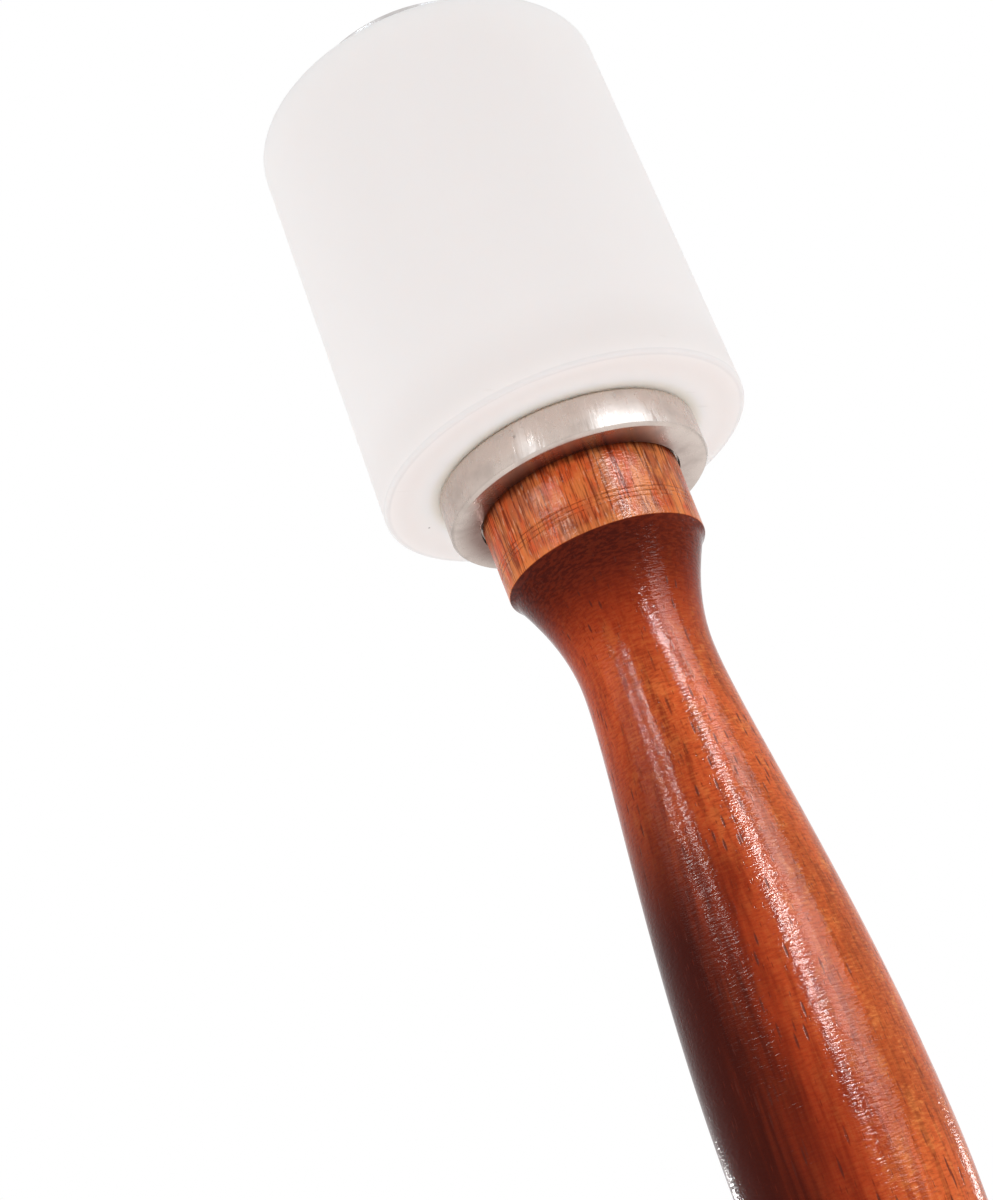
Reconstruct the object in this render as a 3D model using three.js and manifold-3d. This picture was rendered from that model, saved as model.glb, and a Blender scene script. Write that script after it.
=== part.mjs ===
// Leather carving mallet. A nylon cylinder is clamped between two turned aluminium
// plates by one draw bolt, which screws into a brass insert in a turned wooden handle.
// Millimetres, +Z up, head up. The origin is the centre of the butt's flat foot.

import * as THREE from 'three';
import { mergeVertices } from 'three/addons/utils/BufferGeometryUtils.js';
import Module from 'manifold-3d';

const wasm = await Module();
wasm.setup();

// Nylon head
const headDiameter = 60;
const headLength = 70;
const headEdgeRadius = 0.6;

// Aluminium plates above and below the head
const plateDiameter = 42.5;
const topPlateThickness = 8.3;
const collarThickness = 6.8;
const plateChamfer = 0.5;
const hubDiameter = 24;
const collarHubLength = 5;
const counterboreFloor = 2.4;
const handleSeatDepth = 1;

// Wooden handle, from the collar down
const gripLength = 128;
const bandTopDiameter = 32.3;
const bandLowDiameter = 31.9;
const bandHeight = 12.1;
const bandEdgeBreak = 0.4;
const bandLip = 0.7;
const waistDiameter = 21;
const swellDiameter = 31.6;
const buttDiameter = 29.2;
const buttEdgeRadius = 4;
const waistDropShare = 0.235;
const swellDropShare = 0.81;

// Draw bolt and its washers
const boltDiameter = 8;
const boltLength = 100;
const boltTipChamfer = 1;
const boltHeadDiameter = 13;
const boltHeadHeight = 8;
const boltHeadChamfer = 0.6;
const hexKeyWidth = 6;
const hexSocketDepth = 4;
const flatWasherDiameter = 16;
const flatWasherThickness = 1.6;
const lockWasherDiameter = 14.8;
const lockWasherThickness = 2;
const lockWasherSlit = 1.2;
const lockWasherSlant = THREE.MathUtils.degToRad(25);

// Threaded insert in the handle
const insertDiameter = 12;
const insertLength = 22;
const insertSink = 1;
const insertChamfer = 1;
const driveSlotWidth = 1.6;
const driveSlotDepth = 2;
const boltEndRoom = 4;

// Clearances and the overrun of cutting tools
const fitGap = 0.3;
const throughGap = 0.5;
const boltRecess = 0.4;
const overrun = 1;

// Facets round the axis and along the curves
const wideSides = 96;
const handleSides = 60;
const smallSides = 48;
const edgeSteps = 3;
const roundSteps = 5;
const coveSteps = 9;
const gripSteps = 14;
const buttSteps = 6;

// Heights of the seats, worked out from the butt upwards
const collarBottom = gripLength;
const collarTop = collarBottom + collarThickness;
const headTop = collarTop + headLength;
const plateTop = headTop + topPlateThickness;
const washerStack = flatWasherThickness + lockWasherThickness;
const counterboreDepth = washerStack + boltHeadHeight + boltRecess;
const counterboreBottom = plateTop - counterboreDepth;
const plateHubBottom = counterboreBottom - counterboreFloor;
const boltSeat = counterboreBottom + washerStack;
const boltEnd = boltSeat - boltLength;
const handleTop = collarBottom + handleSeatDepth;
const insertTop = handleTop - insertSink;
const insertBottom = insertTop - insertLength;
const handleBoreBottom = Math.min(boltEnd, insertBottom) - boltEndRoom;

// Radii of the holes, from what passes through them
const boltRadius = boltDiameter / 2;
const washerBoreRadius = boltRadius + fitGap;
const throughBoreRadius = boltRadius + throughGap;
const counterboreRadius = flatWasherDiameter / 2 + throughGap;
const hubPocketRadius = hubDiameter / 2 + fitGap;

const nylon = { color: 0xeeebe9, roughness: 0.42, metalness: 0 };
const aluminium = { color: 0xc4bfb9, roughness: 0.34, metalness: 1 };
const lacqueredWood = { color: 0x8f3f1d, roughness: 0.3, metalness: 0 };
const zincSteel = { color: 0xb4b6b8, roughness: 0.36, metalness: 1 };
const springSteel = { color: 0x6d6f72, roughness: 0.45, metalness: 1 };
const brass = { color: 0xc69a4b, roughness: 0.35, metalness: 1 };

function at(radius, height) {
  return new THREE.Vector2(radius, height);
}

// Points of an arc in the profile plane, angles in quarter turns from the +radius side
function arc(centreRadius, centreHeight, arcRadius, fromQuarter, toQuarter, steps) {
  const points = [];
  for (let i = 0; i <= steps; i += 1) {
    const angle = THREE.MathUtils.lerp(fromQuarter, toQuarter, i / steps) * (Math.PI / 2);
    const radius = centreRadius + arcRadius * Math.cos(angle);
    points.push(at(radius, centreHeight + arcRadius * Math.sin(angle)));
  }
  return points;
}

// Turns a profile about the axis. Outer walls run upwards, bores downwards.
function turned(profile, sides) {
  const geometry = new THREE.LatheGeometry(profile, sides);
  geometry.rotateX(Math.PI / 2);
  return geometry;
}

function toSolid(geometry) {
  const bare = geometry.clone();
  bare.deleteAttribute('normal');
  bare.deleteAttribute('uv');
  const merged = mergeVertices(bare, fitGap / 1000);
  const vertProperties = new Float32Array(merged.attributes.position.array);
  const triVerts = new Uint32Array(merged.index.array);
  return new wasm.Manifold(new wasm.Mesh({ numProp: 3, vertProperties, triVerts }));
}

function toGeometry(solid) {
  const { vertProperties, triVerts } = solid.getMesh();
  const geometry = new THREE.BufferGeometry();
  geometry.setAttribute('position', new THREE.BufferAttribute(vertProperties, 3));
  geometry.setIndex(new THREE.BufferAttribute(triVerts, 1));
  return geometry;
}

function cut(body, tool) {
  return toGeometry(toSolid(body).subtract(toSolid(tool)));
}

// Ring of a rectangular section with its outer edges chamfered
function ring(innerRadius, outerRadius, bottom, top, chamfer, sides) {
  return turned([
    at(innerRadius, bottom),
    at(outerRadius - chamfer, bottom),
    at(outerRadius, bottom + chamfer),
    at(outerRadius, top - chamfer),
    at(outerRadius - chamfer, top),
    at(innerRadius, top),
    at(innerRadius, bottom),
  ], sides);
}

// Cylinder with rounded rims, bored through, with a pocket in each end for a plate's hub
function nylonHead() {
  const outer = headDiameter / 2;
  const core = outer - headEdgeRadius;
  const lowerPocketTop = collarTop + collarHubLength + fitGap;
  const upperPocketBottom = plateHubBottom - fitGap;
  return turned([
    at(hubPocketRadius, collarTop),
    ...arc(core, collarTop + headEdgeRadius, headEdgeRadius, -1, 0, edgeSteps),
    ...arc(core, headTop - headEdgeRadius, headEdgeRadius, 0, 1, edgeSteps),
    at(hubPocketRadius, headTop),
    at(hubPocketRadius, upperPocketBottom),
    at(throughBoreRadius, upperPocketBottom),
    at(throughBoreRadius, lowerPocketTop),
    at(hubPocketRadius, lowerPocketTop),
    at(hubPocketRadius, collarTop),
  ], wideSides);
}

// Flanged disc over the head, with a counterbore that takes the bolt head and its washers
function topPlate() {
  const outer = plateDiameter / 2;
  const hub = hubDiameter / 2;
  return turned([
    at(throughBoreRadius, plateHubBottom),
    at(hub - plateChamfer, plateHubBottom),
    at(hub, plateHubBottom + plateChamfer),
    at(hub, headTop),
    at(outer - plateChamfer, headTop),
    at(outer, headTop + plateChamfer),
    at(outer, plateTop - plateChamfer),
    at(outer - plateChamfer, plateTop),
    at(counterboreRadius + plateChamfer, plateTop),
    at(counterboreRadius, plateTop - plateChamfer),
    at(counterboreRadius, counterboreBottom),
    at(throughBoreRadius, counterboreBottom),
    at(throughBoreRadius, plateHubBottom),
  ], wideSides);
}

// Flanged disc under the head, hollowed below to seat the end of the handle
function baseCollar() {
  const outer = plateDiameter / 2;
  const hub = hubDiameter / 2;
  const seat = bandTopDiameter / 2 + fitGap;
  const hubTop = collarTop + collarHubLength;
  return turned([
    at(seat, collarBottom),
    at(outer - plateChamfer, collarBottom),
    at(outer, collarBottom + plateChamfer),
    at(outer, collarTop - plateChamfer),
    at(outer - plateChamfer, collarTop),
    at(hub, collarTop),
    at(hub, hubTop - plateChamfer),
    at(hub - plateChamfer, hubTop),
    at(throughBoreRadius, hubTop),
    at(throughBoreRadius, handleTop),
    at(seat, handleTop),
    at(seat, collarBottom),
  ], wideSides);
}

// Curve between two profile points whose pulls are shares of the radial and axial spans
function sweep(from, to, fromPull, toPull, steps) {
  const span = to.clone().sub(from);
  const leave = from.clone().add(span.clone().multiply(fromPull));
  const arrive = to.clone().sub(span.clone().multiply(toPull));
  return new THREE.CubicBezierCurve(from, leave, arrive, to).getPoints(steps);
}

// Outline of the handle from its foot to its top: rounded butt, swell, waist, cove, band
function handleOutline() {
  const butt = at(buttDiameter / 2, buttEdgeRadius);
  const swell = at(swellDiameter / 2, gripLength * (1 - swellDropShare));
  const waist = at(waistDiameter / 2, gripLength * (1 - waistDropShare));
  const bandLow = at(bandLowDiameter / 2, collarBottom - bandHeight);
  const lip = at(bandLow.x - bandLip, bandLow.y - bandLip);
  const bandTop = bandTopDiameter / 2;
  const buttPullShare = at(0.5, 0.3);
  const swellPullShare = at(0, 0.43);
  const waistPullShare = at(0, 0.17);
  const covePullShare = at(0, 0.43);
  const lipPullShare = at(0.36, 0.2);
  return [
    at(0, 0),
    ...arc(butt.x - buttEdgeRadius, butt.y, buttEdgeRadius, -1, 0, roundSteps),
    ...sweep(butt, swell, buttPullShare, at(0, 0.5), buttSteps).slice(1),
    ...sweep(swell, waist, swellPullShare, waistPullShare, gripSteps).slice(1),
    ...sweep(waist, lip, covePullShare, lipPullShare, coveSteps).slice(1),
    bandLow,
    at(bandTop, handleTop - bandEdgeBreak),
    at(bandTop - bandEdgeBreak, handleTop),
  ];
}

// Turned handle, bored from the top for the threaded insert and the end of the bolt
function woodenHandle() {
  const insertBore = insertDiameter / 2 + fitGap;
  return turned([
    ...handleOutline(),
    at(insertBore, handleTop),
    at(insertBore, insertBottom),
    at(throughBoreRadius, insertBottom),
    at(throughBoreRadius, handleBoreBottom),
    at(0, handleBoreBottom),
  ], handleSides);
}

// Cap screw with a hexagon socket. The thread is plain here.
function drawBolt() {
  const head = boltHeadDiameter / 2;
  const headUp = boltSeat + boltHeadHeight;
  const body = turned([
    at(0, boltEnd),
    at(boltRadius - boltTipChamfer, boltEnd),
    at(boltRadius, boltEnd + boltTipChamfer),
    at(boltRadius, boltSeat),
    at(head, boltSeat),
    at(head, headUp - boltHeadChamfer),
    at(head - boltHeadChamfer, headUp),
    at(0, headUp),
  ], smallSides);
  const acrossCorners = hexKeyWidth / Math.cos(Math.PI / 6);
  const depth = hexSocketDepth + overrun;
  const socket = new THREE.CylinderGeometry(acrossCorners / 2, acrossCorners / 2, depth, 6);
  socket.rotateX(Math.PI / 2);
  socket.translate(0, 0, headUp - hexSocketDepth + depth / 2);
  return cut(body, socket);
}

function flatWasher() {
  const chamfer = flatWasherThickness / 8;
  const top = counterboreBottom + flatWasherThickness;
  const outer = flatWasherDiameter / 2;
  return ring(washerBoreRadius, outer, counterboreBottom, top, chamfer, smallSides);
}

// Split spring washer, pressed flat, with one slanted slit
function lockWasher() {
  const bottom = counterboreBottom + flatWasherThickness;
  const outer = lockWasherDiameter / 2;
  const chamfer = lockWasherThickness / 8;
  const body = ring(washerBoreRadius, outer, bottom, boltSeat, chamfer, smallSides);
  const reach = outer - washerBoreRadius + 2 * overrun;
  const slit = new THREE.BoxGeometry(reach, lockWasherSlit, lockWasherThickness * 3);
  slit.rotateX(lockWasherSlant);
  slit.translate((outer + washerBoreRadius) / 2, 0, bottom + lockWasherThickness / 2);
  return cut(body, slit);
}

// Insert with a slot across its top for the tool that drives it into the wood
function threadedInsert() {
  const outer = insertDiameter / 2;
  const body = turned([
    at(washerBoreRadius, insertBottom),
    at(outer - insertChamfer, insertBottom),
    at(outer, insertBottom + insertChamfer),
    at(outer, insertTop),
    at(washerBoreRadius, insertTop),
    at(washerBoreRadius, insertBottom),
  ], smallSides);
  const depth = driveSlotDepth + overrun;
  const slot = new THREE.BoxGeometry(insertDiameter + 2 * overrun, driveSlotWidth, depth);
  slot.translate(0, 0, insertTop - driveSlotDepth + depth / 2);
  return cut(body, slot);
}

function piece(name, geometry, finish) {
  const mesh = new THREE.Mesh(geometry, new THREE.MeshStandardMaterial(finish));
  mesh.name = name;
  return mesh;
}

const head = new THREE.Group();
head.name = 'head';
head.add(
  piece('nylon_head', nylonHead(), nylon),
  piece('top_plate', topPlate(), aluminium),
  piece('base_collar', baseCollar(), aluminium),
);

const drawBar = new THREE.Group();
drawBar.name = 'draw_bar';
drawBar.add(
  piece('draw_bolt', drawBolt(), zincSteel),
  piece('lock_washer', lockWasher(), springSteel),
  piece('flat_washer', flatWasher(), zincSteel),
);

const handle = new THREE.Group();
handle.name = 'handle';
handle.add(
  piece('wooden_handle', woodenHandle(), lacqueredWood),
  piece('threaded_insert', threadedInsert(), brass),
);

const mallet = new THREE.Group();
mallet.name = 'leather_carving_mallet';
mallet.add(head, drawBar, handle);

export default mallet;
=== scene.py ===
"""Leather carving mallet: its looks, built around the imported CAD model.

Everything is in metres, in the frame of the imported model: the foot of the handle at the
origin and the axis of the mallet along +Z.
"""

import math

import bmesh
import bpy
from mathutils import Matrix, Quaternion, Vector
from mathutils.geometry import interpolate_bezier


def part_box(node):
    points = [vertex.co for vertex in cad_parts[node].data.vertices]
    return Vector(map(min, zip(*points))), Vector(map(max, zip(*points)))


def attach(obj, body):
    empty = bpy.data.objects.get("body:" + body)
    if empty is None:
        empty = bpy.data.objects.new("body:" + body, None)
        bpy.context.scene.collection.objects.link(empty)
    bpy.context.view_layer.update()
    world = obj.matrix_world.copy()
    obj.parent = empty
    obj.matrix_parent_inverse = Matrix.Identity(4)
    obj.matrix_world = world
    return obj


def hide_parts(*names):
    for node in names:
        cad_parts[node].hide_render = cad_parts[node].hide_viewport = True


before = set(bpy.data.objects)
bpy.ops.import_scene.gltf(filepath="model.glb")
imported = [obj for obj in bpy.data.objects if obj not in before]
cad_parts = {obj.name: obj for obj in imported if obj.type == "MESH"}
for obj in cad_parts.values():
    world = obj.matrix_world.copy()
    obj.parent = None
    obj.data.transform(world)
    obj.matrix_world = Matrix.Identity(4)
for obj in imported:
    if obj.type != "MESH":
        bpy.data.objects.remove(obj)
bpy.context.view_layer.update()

bl_info = {
    "name": "Leather Carving Mallet",
    "version": (1, 0, 0),
    "blender": (4, 5, 0),
    "location": "View3D > Sidebar > Mallet",
    "description": "Builds a nylon-headed leather carving mallet around its packed CAD model",
    "category": "Object",
}

MM = 0.001
MICRON = MM / 1000
TOLERANCE = 0.01 * MM

# Sides of the turned pieces, and points up one turn of a thread
HEAD_SIDES, HANDLE_SIDES, WASHER_SIDES, THREAD_SIDES = 192, 168, 96, 48
THREAD_STEPS = 12

# Sizes of the stage, in metres
FLOOR_RADIUS = 6
CARD_SIDE, CARD_HEIGHT = 1.1, 0.002
LAMP_DISTANCE = 0.5

# Gloss groups: pieces whose gloss shows narrow lamps of its own
LACQUER = "lacquered_pieces"
METAL = "metal_pieces"

# Sockets of the Mix node when it mixes colours
MIX_FACTOR, MIX_A, MIX_B, MIX_COLOUR = 0, 6, 7, 2


def bottom(node):
    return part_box(node)[0].z


def top(node):
    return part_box(node)[1].z


def reach(node):
    """Radius of a turned node."""
    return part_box(node)[1].x


def length(name, description, default):
    return bpy.props.FloatProperty(
        name=name, description=description, default=default, min=0, precision=5, unit="LENGTH"
    )


def share(name, description, default):
    return bpy.props.FloatProperty(
        name=name, description=description, default=default, min=0, max=1, subtype="FACTOR"
    )


def angle(name, description, degrees):
    return bpy.props.FloatProperty(
        name=name, description=description, default=math.radians(degrees), unit="ROTATION"
    )


def colour(name, description, default):
    return bpy.props.FloatVectorProperty(
        name=name, description=description, default=default, min=0, max=1, size=3, subtype="COLOR"
    )


def brightness(name, description, default):
    return bpy.props.FloatProperty(
        name=name, description=description + ", where white paper is 1", default=default, min=0
    )


class MalletHeadSizes(bpy.types.PropertyGroup):
    head_rim: length("Head rim", "Radius of the rounded rims of the nylon head", 0.6 * MM)
    hub_radius: length("Hub radius", "Radius of the hubs that centre the head", 12 * MM)
    bore_radius: length("Bore radius", "Radius of the bore for the bolt", 4.5 * MM)
    fit_gap: length("Fit gap", "Clearance between turned pieces that fit together", 0.3 * MM)
    plate_chamfer: length("Plate chamfer", "Width of the chamfers of the plates", 0.5 * MM)
    edge_break: length("Edge break", "Radius of the broken corners of the metal", 0.09 * MM)
    counterbore_radius: length("Counterbore", "Radius of the recess for the bolt head", 8.5 * MM)


class MalletHandleSizes(bpy.types.PropertyGroup):
    band_low_radius: length("Band low radius", "Radius of the band at its lower edge", 15.95 * MM)
    band_height: length("Band height", "Height of the straight band under the collar", 12.1 * MM)
    band_edge_break: length("Band edge", "Broken edge at the top of the band", 0.4 * MM)
    band_lip: length("Band lip", "Slanted lip between the band and the cove", 0.7 * MM)
    waist_radius: length("Waist radius", "Radius of the handle at its waist", 10.5 * MM)
    swell_radius: length("Swell radius", "Radius of the grip at its fullest", 15.8 * MM)
    butt_radius: length("Butt radius", "Radius where the grip meets the rounded butt", 14.6 * MM)
    butt_round: length("Butt round", "Radius of the rounded edge of the butt", 4 * MM)
    waist_drop: share("Waist drop", "Place of the waist, as a share of the way down", 0.235)
    swell_drop: share("Swell drop", "Place of the swell, as a share of the way down", 0.81)
    line_drop: share("Line drop", "Place of the turned lines down the band", 0.66)
    line_spacing: length("Line spacing", "Distance between the fine turned lines", 0.75 * MM)
    line_depth: length("Line depth", "Depth of the fine turned lines", 0.1 * MM)
    line_half_width: length("Line half width", "Half the width of the fine turned lines", 0.16 * MM)
    edge_round: length("Edge round", "Rounding of the edges of the wood", 0.12 * MM)
    insert_radius: length("Insert bore", "Radius of the bore for the threaded insert", 6.3 * MM)
    bolt_room: length("Bolt room", "Empty depth under the end of the bolt", 4 * MM)


class MalletBoltSizes(bpy.types.PropertyGroup):
    thread_radius: length("Thread radius", "Outside radius of the bolt's thread", 4 * MM)
    thread_pitch: length("Thread pitch", "Rise of the thread in one turn", 1.25 * MM)
    thread_depth: length("Thread depth", "Depth of the thread", 0.7 * MM)
    thread_length: length("Thread length", "Length of the thread of the bolt", 28 * MM)
    tip_chamfer: length("Tip chamfer", "Chamfer at the end of the bolt", 1 * MM)
    head_height: length("Head height", "Height of the head of the bolt", 8 * MM)
    head_chamfer: length("Head chamfer", "Chamfer round the head of the bolt", 0.6 * MM)
    key_width: length("Key width", "Width of the hexagonal socket across its flats", 6 * MM)
    key_depth: length("Key depth", "Depth of the hexagonal socket", 4 * MM)
    washer_bore: length("Washer bore", "Radius of the hole of washers and insert", 4.3 * MM)
    slit_width: length("Slit width", "Width of the slit of the spring washer", 1.2 * MM)
    slit_slant: angle("Slit slant", "Slant of the slit of the spring washer", 25)
    insert_chamfer: length("Insert chamfer", "Chamfer at the lower end of the insert", 1 * MM)
    insert_pitch: length("Insert pitch", "Rise of the thread of the insert in one turn", 2.5 * MM)
    insert_thread: length("Insert thread", "Depth of the thread of the insert", 0.7 * MM)
    slot_width: length("Slot width", "Width of the driving slot of the insert", 1.6 * MM)
    slot_depth: length("Slot depth", "Depth of the driving slot of the insert", 2 * MM)


class MalletColours(bpy.types.PropertyGroup):
    nylon: colour("Nylon", "White of the nylon head", (0.87, 0.835, 0.83))
    nylon_warm: colour("Aged nylon", "Faint cream tint, stronger by the foot of the head", (0.80, 0.69, 0.62))
    # Painted shade: a greyer tone on the foot and the lower rim of the head
    nylon_painted_shade: colour("Worn nylon", "Greyer tone by the foot and on the lower rim", (0.71, 0.675, 0.67))
    # Painted light: a whiter tone on the lower face round the collar, against the collar's shade
    nylon_painted_light: colour("Clean nylon", "Whiter tone of the lower face round the collar", (0.96, 0.925, 0.92))
    # Cream ring on the lower face next to the collar
    nylon_cream: colour("Cream nylon", "Cream ring where the collar presses on the head", (0.88, 0.80, 0.68))
    nylon_speck: colour("Specks", "Dark specks by the foot of the head", (0.16, 0.13, 0.11))
    nylon_scuff: colour("Scuffs", "Faint scuffs by the foot of the head", (0.45, 0.40, 0.36))
    # Also paints light and glints on the right side of the handle and the band
    wood_light: colour("Light wood", "Golden fibres and figure of the wood", (0.80, 0.25, 0.065))
    wood_mid: colour("Wood", "Main red-brown of the stained wood", (0.64, 0.098, 0.024))
    wood_dark: colour("Dark wood", "Dark streaks of the wood", (0.12, 0.012, 0.003))
    # Painted shade of the cove and of the left side of the handle
    wood_painted_shade: colour("Deep wood", "Deep red-brown of the cove and of the left side", (0.28, 0.020, 0.004))
    # Painted shadow on the lower left of the grip and in the cove, and stain at the top of the band
    wood_shadow_and_stain: colour("Heart wood", "Heart wood and stained end grain of the cove", (0.040, 0.0028, 0.0008))
    wood_pore: colour("Pores", "Open pores of the wood", (0.08, 0.009, 0.003))
    wood_band: colour("Band", "Paler wood of the band under the collar", (0.50, 0.125, 0.042))
    # Pale fibres of the band, partly a painted sheen
    wood_fleck_sheen: colour("Flecks", "Pale open fibres of the band", (0.78, 0.42, 0.26))
    # Its warm brown tint is partly the aluminium's own and partly a painted reflection of skin
    aluminium: colour("Aluminium", "Aluminium of the collar, browned by hands", (0.64, 0.545, 0.49))
    aluminium_clean: colour("Clean aluminium", "Aluminium of the top plate", (0.63, 0.60, 0.59))
    # Dirt and painted shade on the collar's lower face beside the wood
    grime_and_shade: colour("Grime", "Brown dirt on the collar beside the wood", (0.16, 0.080, 0.060))
    zinc: colour("Zinc", "Zinc plating of the bolt and the flat washer", (0.56, 0.57, 0.59))
    spring_steel: colour("Spring steel", "Dull spring steel of the lock washer", (0.22, 0.225, 0.235))
    brass: colour("Brass", "Machined brass of the insert", (0.66, 0.44, 0.16))
    floor: colour("Floor", "Pale floor under the mallet", (0.84, 0.84, 0.835))


class MalletStage(bpy.types.PropertyGroup):
    focal_length: bpy.props.FloatProperty(
        name="Focal length", description="Focal length of the camera, in millimetres", default=54
    )
    roll: angle("Roll", "How far the mallet leans to the left in the picture", 20.24)
    tilt: angle("Tilt", "How far the head leans away from the camera", 22.75)
    joint_place: bpy.props.FloatVectorProperty(
        name="Joint place",
        description="Middle of the joint of collar and head from the camera: right, down, ahead",
        default=(11.1 * MM, -21.3 * MM, 283.8 * MM),
        size=3,
        precision=5,
        unit="LENGTH",
    )
    strip_brightness: brightness("Strip", "Brightness of the narrow strips seen in the lacquer", 300)
    soft_brightness: brightness("Soft boxes", "Brightness of the soft boxes and metal glints", 1.0)
    glint_tint: colour("Glint tint", "Cool tint of the lamps seen in the metal", (0.72, 0.88, 1.0))
    card_brightness: brightness("Card", "Brightness of the low card that lights from below", 0.51)
    room_brightness: brightness("Room", "Brightness of the even light of the room", 0.68)


def deselect_all():
    bpy.ops.object.select_all(action="DESELECT")


def pick(piece):
    """Selects one piece alone and makes it the active one."""
    deselect_all()
    piece.select_set(True)
    bpy.context.view_layer.objects.active = piece


def edit(piece, select_mode):
    """Opens a piece in edit mode, with nothing of it selected."""
    pick(piece)
    bpy.ops.object.mode_set(mode="EDIT")
    bpy.ops.mesh.select_mode(type=select_mode)
    bpy.ops.mesh.select_all(action="DESELECT")


def close_edit():
    bpy.ops.object.mode_set(mode="OBJECT")


def select_points(piece, test):
    """Selects the points of a piece in edit mode that pass the test."""
    mesh = bmesh.from_edit_mesh(piece.data)
    for point in mesh.verts:
        point.select_set(test(point.co))
    mesh.select_flush_mode()
    bmesh.update_edit_mesh(piece.data)


def scale_about_axis(factor, height=0.0):
    bpy.ops.transform.resize(value=(factor, factor, 1), center_override=(0, 0, height))


def turn(name, outline, sides, bored=False):
    """Turns an outline of (radius, height) points by extruding and scaling one circle.

    The ends of a bored outline are bridged. Those of any other are flat faces.
    """
    radius, height = outline[0]
    deselect_all()
    bpy.ops.mesh.primitive_circle_add(
        vertices=sides,
        radius=radius,
        fill_type="NOTHING" if bored else "NGON",
        location=(0, 0, height),
    )
    piece = bpy.context.object
    piece.name = name
    bpy.ops.object.transform_apply(location=True, rotation=True, scale=True)
    bpy.ops.object.mode_set(mode="EDIT")
    for (radius, height), (next_radius, next_height) in zip(outline, outline[1:]):
        step = {"value": (0, 0, next_height - height)}
        bpy.ops.mesh.extrude_region_move(TRANSFORM_OT_translate=step)
        scale_about_axis(next_radius / radius, next_height)
    if bored:
        bpy.ops.mesh.select_mode(type="EDGE")
        bpy.ops.mesh.select_all(action="DESELECT")
        bpy.ops.mesh.select_non_manifold()
        bpy.ops.mesh.bridge_edge_loops()
    bpy.ops.mesh.select_all(action="SELECT")
    bpy.ops.mesh.normals_make_consistent(inside=False)
    close_edit()
    return piece


def break_edges(piece, width, segments=2, sharper_than=math.radians(28)):
    """Rounds every edge that is sharper than the angle."""
    edit(piece, "EDGE")
    bpy.ops.mesh.edges_select_sharp(sharpness=sharper_than)
    bpy.ops.mesh.bevel(offset=width, segments=segments, profile=0.5, affect="EDGES")
    close_edit()


def shade(piece):
    """Shades a piece smooth, with its flat faces kept flat beside their rounded edges."""
    pick(piece)
    bpy.ops.object.shade_smooth_by_angle(angle=math.radians(32))
    bpy.ops.object.modifier_add(type="WEIGHTED_NORMAL")
    piece.modifiers[-1].keep_sharp = True
    bpy.ops.object.modifier_apply(modifier=piece.modifiers[-1].name)


def carve(piece, cutter):
    """Takes the cutter out of the piece and removes the cutter."""
    pick(piece)
    bpy.ops.object.modifier_add(type="BOOLEAN")
    cut = piece.modifiers[-1]
    cut.operation = "DIFFERENCE"
    cut.solver = "EXACT"
    cut.object = cutter
    bpy.ops.object.modifier_apply(modifier=cut.name)
    pick(cutter)
    bpy.ops.object.delete()


def gloss_group(name):
    """Collection of the pieces of a gloss group."""
    return bpy.data.collections.get(name) or bpy.data.collections.new(name)


def hand_over(piece, node, finish, group=None):
    """Gives a finished piece its material and gloss group, hangs it under the root body and hides the CAD
    node it replaces.
    """
    piece.data.materials.clear()
    piece.data.materials.append(finish.material)
    if group:
        gloss_group(group).objects.link(piece)
    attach(piece, "root")
    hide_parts(node)


class Field:
    """A socket that takes part in Python sums, each of which adds a Math node."""

    def __init__(self, nodes, socket):
        self.nodes = nodes
        self.socket = socket

    def __add__(self, other):
        return self.nodes.math("ADD", self, other)

    def __radd__(self, other):
        return self.nodes.math("ADD", other, self)

    def __sub__(self, other):
        return self.nodes.math("SUBTRACT", self, other)

    def __rsub__(self, other):
        return self.nodes.math("SUBTRACT", other, self)

    def __mul__(self, other):
        return self.nodes.math("MULTIPLY", self, other)

    def __rmul__(self, other):
        return self.nodes.math("MULTIPLY", other, self)

    def __truediv__(self, other):
        return self.nodes.math("DIVIDE", self, other)

    def __rtruediv__(self, other):
        return self.nodes.math("DIVIDE", other, self)


class Nodes:
    """A node tree, emptied and filled anew through one method."""

    def __init__(self, tree):
        self.tree = tree
        tree.nodes.clear()

    def node(self, kind, settings=None, sockets=None, out=0):
        """Adds a node, gives it its settings and then its sockets, and returns one output."""
        made = self.tree.nodes.new(kind)
        for name, value in (settings or {}).items():
            setattr(made, name, value)
        for key, value in (sockets or {}).items():
            if isinstance(value, Field):
                self.tree.links.new(value.socket, made.inputs[key])
            else:
                made.inputs[key].default_value = value
        return Field(self, made.outputs[out]) if made.outputs else None

    def math(self, operation, first, second=0.0):
        return self.node("ShaderNodeMath", {"operation": operation}, {0: first, 1: second})


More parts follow.
